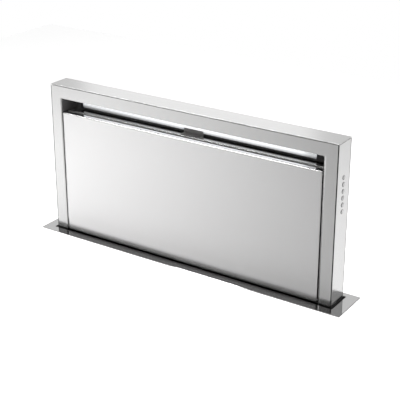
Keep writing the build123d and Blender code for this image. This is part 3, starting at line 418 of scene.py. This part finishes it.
side_low, side_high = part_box("tower_side_right")
frame_low, frame_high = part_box("front_frame")
back_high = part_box("tower_back")[1]
seam_inset = 0.0002
seams = []
for sign in (-1, 1):
    seam_x = sorted((sign * (frame_high.x + seam_inset), sign * (side_high.x - seam_inset)))
    for seam_y in ((frame_low.y, side_low.y), (side_high.y, back_high.y)):
        seams.append(((seam_x[0], seam_y[0] + seam_inset, frame_low.z),
                      (seam_x[1], seam_y[1] - seam_inset, frame_high.z)))
# Black sealant beads fill the corner seams; their black also stands for the shade in the open seam.
bars("corner_sealant", seams, "tower", seal_rubber)


# ---- intake slot ----
# A lining of folded sheet behind the slot, whose dark grey is painted shade, and a polished ledge that
# catches the light, sealed along its front with pale silicone. A painted clip stands in the middle.
# The lining's dark grey is painted shade inside the slot.
lining_shade_grey = moulded("lining_shade_grey", (0.2, 0.194, 0.196), roughness=0.38)
dress(lining_shade_grey, "intake_lining")
clip_paint = moulded("clip_paint", (0.5, 0.49, 0.49), roughness=0.42)
dress(clip_paint, "centre_bracket")
ledge_steel = brushed("ledge_steel", grain_along, (0.88, 0.88, 0.87), roughness=0.12, spread=0.02,
                      smudge=0.02, bump=0.005)
dress(ledge_steel, "baffle_ledge")

silicone = moulded("silicone", (0.62, 0.62, 0.61), roughness=0.45, scale=500.0, bump=0.1)
ledge_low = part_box("baffle_ledge")[0]
panel_low, panel_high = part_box("front_panel")
line_end = opening_edge - 0.002
line_front, line_back = ledge_low.y - 0.0045, ledge_low.y - 0.0001
line_low, line_high = panel_high.z - 0.004, panel_high.z - 0.0005
bars("ledge_seal", [((-line_end, line_front, line_low), (line_end, line_back, line_high))],
     "tower", silicone, round_edge=0.001)


# ---- light strip ----
# An extruded black channel with a bowed opal cover, lit by a row of cool white diodes.
# Two foam pads stick it to the back of the lining, just above the ledge.
black_anodised = brushed("black_anodised", grain_along, (0.2, 0.2, 0.205), roughness=0.4, tone=0.05,
                         bump=0.04)
dress(black_anodised, "light_profile")
dress(seal_rubber, "light_pads")
light_low, light_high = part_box("light_diffuser")


def waves(tree, place, direction, scale):
    """A value that rises and falls along one axis."""
    values = {"Vector": place, "Scale": scale}
    return add(tree, "ShaderNodeTexWave", values, bands_direction=direction).outputs["Fac"]


def opal_cover(name):
    """Opal plastic lit by diodes, darker past the last diode; its darker foot, most of all at the left, is
    painted shade.
    """
    material, tree, shader = new_material(name)
    shader.inputs["Base Color"].default_value = (0.9, 0.92, 0.94, 1.0)
    shader.inputs["Roughness"].default_value = 0.35
    shader.inputs["Emission Strength"].default_value = 1.0
    place = own_place(tree)
    glow = add(tree, "ShaderNodeValToRGB", {"Fac": waves(tree, place, "X", scale=32.0)})
    glow.color_ramp.elements[0].color = (0.93, 0.96, 1.0, 1.0)
    glow.color_ramp.elements[1].color = (1.0, 1.0, 1.0, 1.0)
    at = axes(tree, place)
    # The glow is dimmed along the cover's foot, higher up at the left: painted shade.
    slope_run, slope_rise = 0.3, 0.0045
    slope = mapped(tree, at["X"], (light_low.x, light_low.x + slope_run), (slope_rise, 0.0))
    dark_below, bright_above = light_low.z - 0.002, light_low.z + 0.0105
    lower_shade = mapped(tree, maths(tree, "SUBTRACT", at["Z"], slope), (dark_below, bright_above), (0.1, 1.0),
                    smooth=True)
    last_diode = light_high.x - 0.042
    ending = mapped(tree, at["X"], (last_diode - 0.015, last_diode + 0.01), (1.0, 0.5), smooth=True)
    lit = scaled(tree, glow.outputs["Color"], maths(tree, "MULTIPLY", lower_shade, ending))
    tree.links.new(lit, shader.inputs["Emission Color"])
    return material


dress(opal_cover("opal_diffuser"), "light_diffuser")

cap_plastic = moulded("cap_plastic", (0.07, 0.07, 0.071), roughness=0.45, speckle=0.15, scale=800.0,
                      bump=0.12)
profile_low, profile_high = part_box("light_profile")
cap_proud = 0.0006
cap_front, cap_depth = profile_low.y - 0.0016, 0.0056
end_caps = []
for sign, reach in ((-1, 0.006), (1, 0.017)):
    cap_x = sorted((sign * (light_high.x - reach), sign * (light_high.x + 2 * cap_proud)))
    end_caps.append(((cap_x[0], cap_front, profile_low.z - cap_proud),
                     (cap_x[1], cap_front + cap_depth, profile_high.z + cap_proud)))
bars("light_end_caps", end_caps, "tower", cap_plastic, round_edge=0.0006)


# ---- grease filters ----
# Two lift-out filters behind the panel: crimped aluminium mesh in folded aluminium frames.
# They stand on a sill, either side of a zinc-coated post; the sill's near black is painted shade below the
# panel.
filter_aluminium = brushed("filter_aluminium", grain_along, (0.62, 0.62, 0.63), roughness=0.36, spread=0.1,
                           tone=0.08, smudge=0.06, bump=0.06)
dress(filter_aluminium, "filter_frames")


def crimped_mesh(name):
    """Woven aluminium wire: bright where a wire runs, dark in the gaps."""
    material, tree, shader = new_material(name)
    place = own_place(tree)
    woven = maths(tree, "MAXIMUM", waves(tree, place, "X", scale=160.0), waves(tree, place, "Z", scale=160.0))
    tone = add(tree, "ShaderNodeValToRGB", {"Fac": woven})
    gap, wire = tone.color_ramp.elements
    gap.position = 0.55
    gap.color = (0.05, 0.05, 0.05, 1.0)
    wire.position = 0.8
    wire.color = (0.6, 0.6, 0.61, 1.0)
    tree.links.new(tone.outputs["Color"], shader.inputs["Base Color"])
    tree.links.new(raised(tree, woven, strength=0.5, depth=0.0006), shader.inputs["Normal"])
    shader.inputs["Metallic"].default_value = 0.9
    shader.inputs["Roughness"].default_value = 0.4
    return material


dress(crimped_mesh("mesh_weave"), "filter_meshes")
dress(galvanised, "centre_post")
# The sill is near black: painted shade in the gap at the panel's foot.
sill_shade_black = moulded("sill_shade_black", (0.025, 0.025, 0.025), roughness=0.5)
dress(sill_shade_black, "filter_sill")


# ---- front panel ----
# A shallow pan of stainless steel, brushed along its length, with a burnished hem along its top.
# It tilts forward on two pins at its foot, and magnets hold it shut.
panel_steel = brushed("panel_steel", grain_along, (0.795, 0.79, 0.791), roughness=0.25, bump=0.015)
dress(panel_steel, "front_panel")


def burnish_top(material, low, high, gloss):
    """Bring a finish's roughness down to a share of itself towards its top, between two heights."""
    tree = material.node_tree
    shader = tree.nodes["Principled BSDF"]
    share = mapped(tree, axes(tree, own_place(tree))["Z"], (low, high), (1.0, gloss))
    tree.links.new(maths(tree, "MULTIPLY", fed_by(shader, "Roughness"), share), shader.inputs["Roughness"])


burnish_top(panel_steel, panel_high.z - 0.0012, panel_high.z - 0.0002, gloss=0.3)
# The panel is darkened towards its foot: painted shade, and a painted reflection of the dark plate strip
# below it.
paint_foot_shade(panel_steel, panel_low.z + 0.0005, panel_low.z + 0.0075, darkest=0.3)
roll_edges(panel_steel, panel_high.x, panel_high.z, width=0.003, drop=0.0012)
dress(bright_zinc, "panel_pins")
dress(black_plastic, "panel_magnets")


# ---- push-buttons ----
# Six domed metal buttons in the right-hand side, each in a thin black ring.
# A circuit board stands behind them, inside the tower.
button_metal = brushed("button_metal", grain_upright, (0.62, 0.62, 0.62), roughness=0.28, spread=0.1,
                       tone=0.05, smudge=0.05, bump=0.03)
solder_mask = moulded("solder_mask", (0.02, 0.11, 0.04), roughness=0.3, scale=200.0, bump=0.04)
dress(solder_mask, "button_board")
ring_inner = 0.0049
ring_outer = 0.0056
ring_proud = 0.0005
ring_steps = 32


def bezel(name, centre):
    """A flat moulded ring round an opening in the side skin, with a rounded face."""
    profile = [(ring_inner, 0.0), (ring_inner, ring_proud * 0.6), ((ring_inner + ring_outer) / 2, ring_proud),
               (ring_outer, ring_proud * 0.5), (ring_outer, 0.0)]
    count = len(profile)
    points, faces = [], []
    for i in range(ring_steps):
        angle = 2 * math.pi * i / ring_steps
        after = (i + 1) % ring_steps
        for k, (radius, proud) in enumerate(profile):
            points.append(centre + Vector((proud, radius * math.cos(angle), radius * math.sin(angle))))
            beside = (k + 1) % count
            faces.append((i * count + k, i * count + beside, after * count + beside, after * count + k))
    mesh = bpy.data.meshes.new(name)
    mesh.from_pydata(points, [], faces)
    mesh.polygons.foreach_set("use_smooth", [True] * len(faces))
    return new_piece(name, mesh, "tower", black_plastic)


for label in ("lift", "power", "light", "slower", "faster", "timer"):
    dress(button_metal, "button_" + label)
    button_low, button_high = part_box("button_" + label)
    middle = (button_low + button_high) / 2
    bezel("bezel_" + label, Vector((side_high.x, middle.y, middle.z)))


# ---- blower ----
# A double-inlet wheel in a spiral casing, inside a flanged box of zinc-coated sheet on the chassis front.
# The collar and its two flaps are moulded black.
box_zinc = zinc_coated("box_zinc", (0.66, 0.67, 0.67), roughness=0.3, contrast=0.12, scale=150.0)
dress(box_zinc, "blower_box", "blower_cover")
dress(galvanised, "blower_scroll", "motor_bracket")
dress(bright_zinc, "blower_wheel", "cover_screws")
dress(black_plastic, "outlet_collar", "flap_front", "flap_back")

box_low, box_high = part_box("blower_box")
flange_inset = 0.006
flange_x = box_high.x - flange_inset
flange_y = box_high.y - sheet
flange_heights = along(box_low.z + rivet_end, box_high.z - rivet_end, 4)
flange_top = box_high.z - flange_inset
spots = [(sign * flange_x, flange_y, z) for sign in (-1, 1) for z in flange_heights]
spots += [(x, flange_y, flange_top) for x in along(-flange_x + rivet_end, flange_x - rivet_end, 4)]
rivets("flange_rivets", spots, (0, -1, 0))


# ---- control box ----
# A box and lid moulded from black plastic, which hold the power supply.
# It is fixed to the chassis, and the gland below it takes the lead.
dress(black_plastic, "control_box", "control_lid", "cable_gland")


# ---- studio ----
# A pale worktop in front of the plate and beside it, a pale floor under the floor brackets, and soft lamps.
# Worktop and floor are diffuse sheets, with a glow that only the camera sees.
def dot(tree, place, direction):
    """How far a place reaches in a direction."""
    values = {0: place, 1: direction}
    return add(tree, "ShaderNodeVectorMath", values, operation="DOT_PRODUCT").outputs["Value"]


def pale_stage(name, outlines, z, left_grey, right_grey, front_share, glow):
    """A flat pale sheet: diffuse, with enough glow towards the camera to read as white, and clear from below.

    Its grey goes from one value at the left to another at the right, times a share towards the front. On the
    worktop this grey is painted light, which the steel shows in its reflections."""
    mesh = bpy.data.meshes.new(name)
    points, faces = [], []
    for outline in outlines:
        faces.append(list(range(len(points), len(points) + len(outline))))
        points += [(x, y, z) for x, y in outline]
    mesh.from_pydata(points, [], faces)
    stage = bpy.data.objects.new(name, mesh)
    scene.collection.objects.link(stage)
    material = bpy.data.materials.new(name)
    material.use_nodes = True
    tree = material.node_tree
    tree.nodes.clear()
    place = own_place(tree)
    rightward, outward = (1.0, -0.45, 0.0), (0.0, -1.0, 0.0)
    grey = mapped(tree, dot(tree, place, rightward), (-0.55, 0.5), (left_grey, right_grey))
    share = mapped(tree, dot(tree, place, outward), (0.1, 1.1), (1.08, front_share), smooth=True)
    diffuse = add(tree, "ShaderNodeBsdfDiffuse", {"Color": maths(tree, "MULTIPLY", grey, share)})
    seen = add(tree, "ShaderNodeLightPath").outputs["Is Camera Ray"]
    emission = add(tree, "ShaderNodeEmission", {"Color": (1.0, 1.0, 1.0, 1.0),
                                                "Strength": maths(tree, "MULTIPLY", seen, glow)})
    lit = add(tree, "ShaderNodeAddShader", {0: diffuse.outputs[0], 1: emission.outputs[0]})
    clear = add(tree, "ShaderNodeBsdfTransparent")
    below = add(tree, "ShaderNodeNewGeometry").outputs["Backfacing"]
    mix = add(tree, "ShaderNodeMixShader", {"Fac": below, 1: lit.outputs[0], 2: clear.outputs[0]})
    add(tree, "ShaderNodeOutputMaterial", {"Surface": mix.outputs[0]})
    mesh.materials.append(material)
    return stage


plate_low, plate_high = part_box("trim_plate")
foot_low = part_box("floor_brackets")[0]
under_plate = 0.004
left, right = plate_low.x + under_plate, plate_high.x - under_plate
near, far = plate_low.y + under_plate, plate_high.y
reach_x, reach_y = 1.7, -1.8
# The worktop's grey falls from the left to the right and towards the front: painted light, seen in the
# steel's reflections.
worktop = pale_stage("worktop", [
    [(-reach_x, reach_y), (reach_x, reach_y), (reach_x, near), (-reach_x, near)],
    [(-reach_x, near), (left, near), (left, far), (-reach_x, far)],
    [(right, near), (reach_x, near), (reach_x, far), (right, far)],
], z=0.0, left_grey=0.8, right_grey=0.39, front_share=0.93, glow=1.0)
worktop.visible_shadow = False
floor_reach = 4
floor_outline = [(x * floor_reach, y * floor_reach) for x, y in ((-1, -1), (1, -1), (1, 1), (-1, 1))]
pale_stage("floor", [floor_outline], z=foot_low.z - 0.0005, left_grey=0.9, right_grey=0.9, front_share=1.0,
           glow=0.6)


def area_lamp(name, place, target, size, power):
    """A rectangular soft lamp that faces a point."""
    data = bpy.data.lights.new(name, "AREA")
    data.shape = "RECTANGLE"
    data.size, data.size_y = size
    data.energy = power
    lamp = bpy.data.objects.new(name, data)
    lamp.location = place
    lamp.rotation_euler = (Vector(target) - Vector(place)).to_track_quat("-Z", "Y").to_euler()
    scene.collection.objects.link(lamp)


area_lamp("key", place=(-1.3, -0.7, 2.5), target=(-0.5, -0.4, 0), size=(1.6, 1.2), power=62)
area_lamp("top", place=(0.2, 0.4, 2.8), target=(0.2, 0, 0), size=(2.0, 1.2), power=40)
area_lamp("side", place=(1.9, 2.3, 2.4), target=(1.8, 2.3, -0.7), size=(1.6, 1.6), power=45)
area_lamp("back", place=(-1.5, 2.3, 1.45), target=(0, 0, 0.4), size=(1.2, 0.9), power=1.3)

world = bpy.data.worlds.new("studio")
scene.world = world
world.use_nodes = True
world.node_tree.nodes.clear()


def studio_walls(tree):
    """White to the camera; to the steel, a soft glow from above and behind at the left, over pale walls."""
    seen = add(tree, "ShaderNodeLightPath").outputs["Is Camera Ray"]
    looking = add(tree, "ShaderNodeTexCoord").outputs["Generated"]
    brightest = (-0.75, 0.62, 0.24)
    overhead = mapped(tree, dot(tree, looking, brightest), (-0.2, 0.95), (0.06, 0.85), smooth=True)
    from_level = maths(tree, "ABSOLUTE", axes(tree, looking)["Z"])
    walls = mapped(tree, from_level, (0.1, 0.28), (0.62, 0.0), smooth=True)
    plain = add(tree, "ShaderNodeBackground", {"Strength": maths(tree, "MAXIMUM", overhead, walls)})
    white = add(tree, "ShaderNodeBackground", {"Color": (1.0, 1.0, 1.0, 1.0), "Strength": 1.0})
    chosen = add(tree, "ShaderNodeMixShader", {"Fac": seen, 1: plain.outputs[0], 2: white.outputs[0]})
    add(tree, "ShaderNodeOutputWorld", {"Surface": chosen.outputs[0]})


studio_walls(world.node_tree)
scene.view_settings.view_transform = "Standard"

azimuth = math.radians(33.57)
elevation = math.radians(22.04)
distance = 2.5701
forward = Vector((-math.sin(azimuth) * math.cos(elevation), math.cos(azimuth) * math.cos(elevation),
                  -math.sin(elevation)))
across = Vector((math.cos(azimuth), math.sin(azimuth), 0.0))
upward = across.cross(forward)
tower_middle = Vector((0.0, frame_low.y, plate_high.z + 0.2))
aim = tower_middle + across * 0.0406 + upward * 0.0237
camera_data = bpy.data.cameras.new("camera")
camera_data.lens = 95.22
camera_data.sensor_width = 36.0
camera_data.shift_y = -0.05
camera = bpy.data.objects.new("camera", camera_data)
camera.location = aim - forward * distance
camera.rotation_mode = "QUATERNION"
camera.rotation_quaternion = forward.to_track_quat("-Z", "Y")
scene.collection.objects.link(camera)
scene.camera = camera
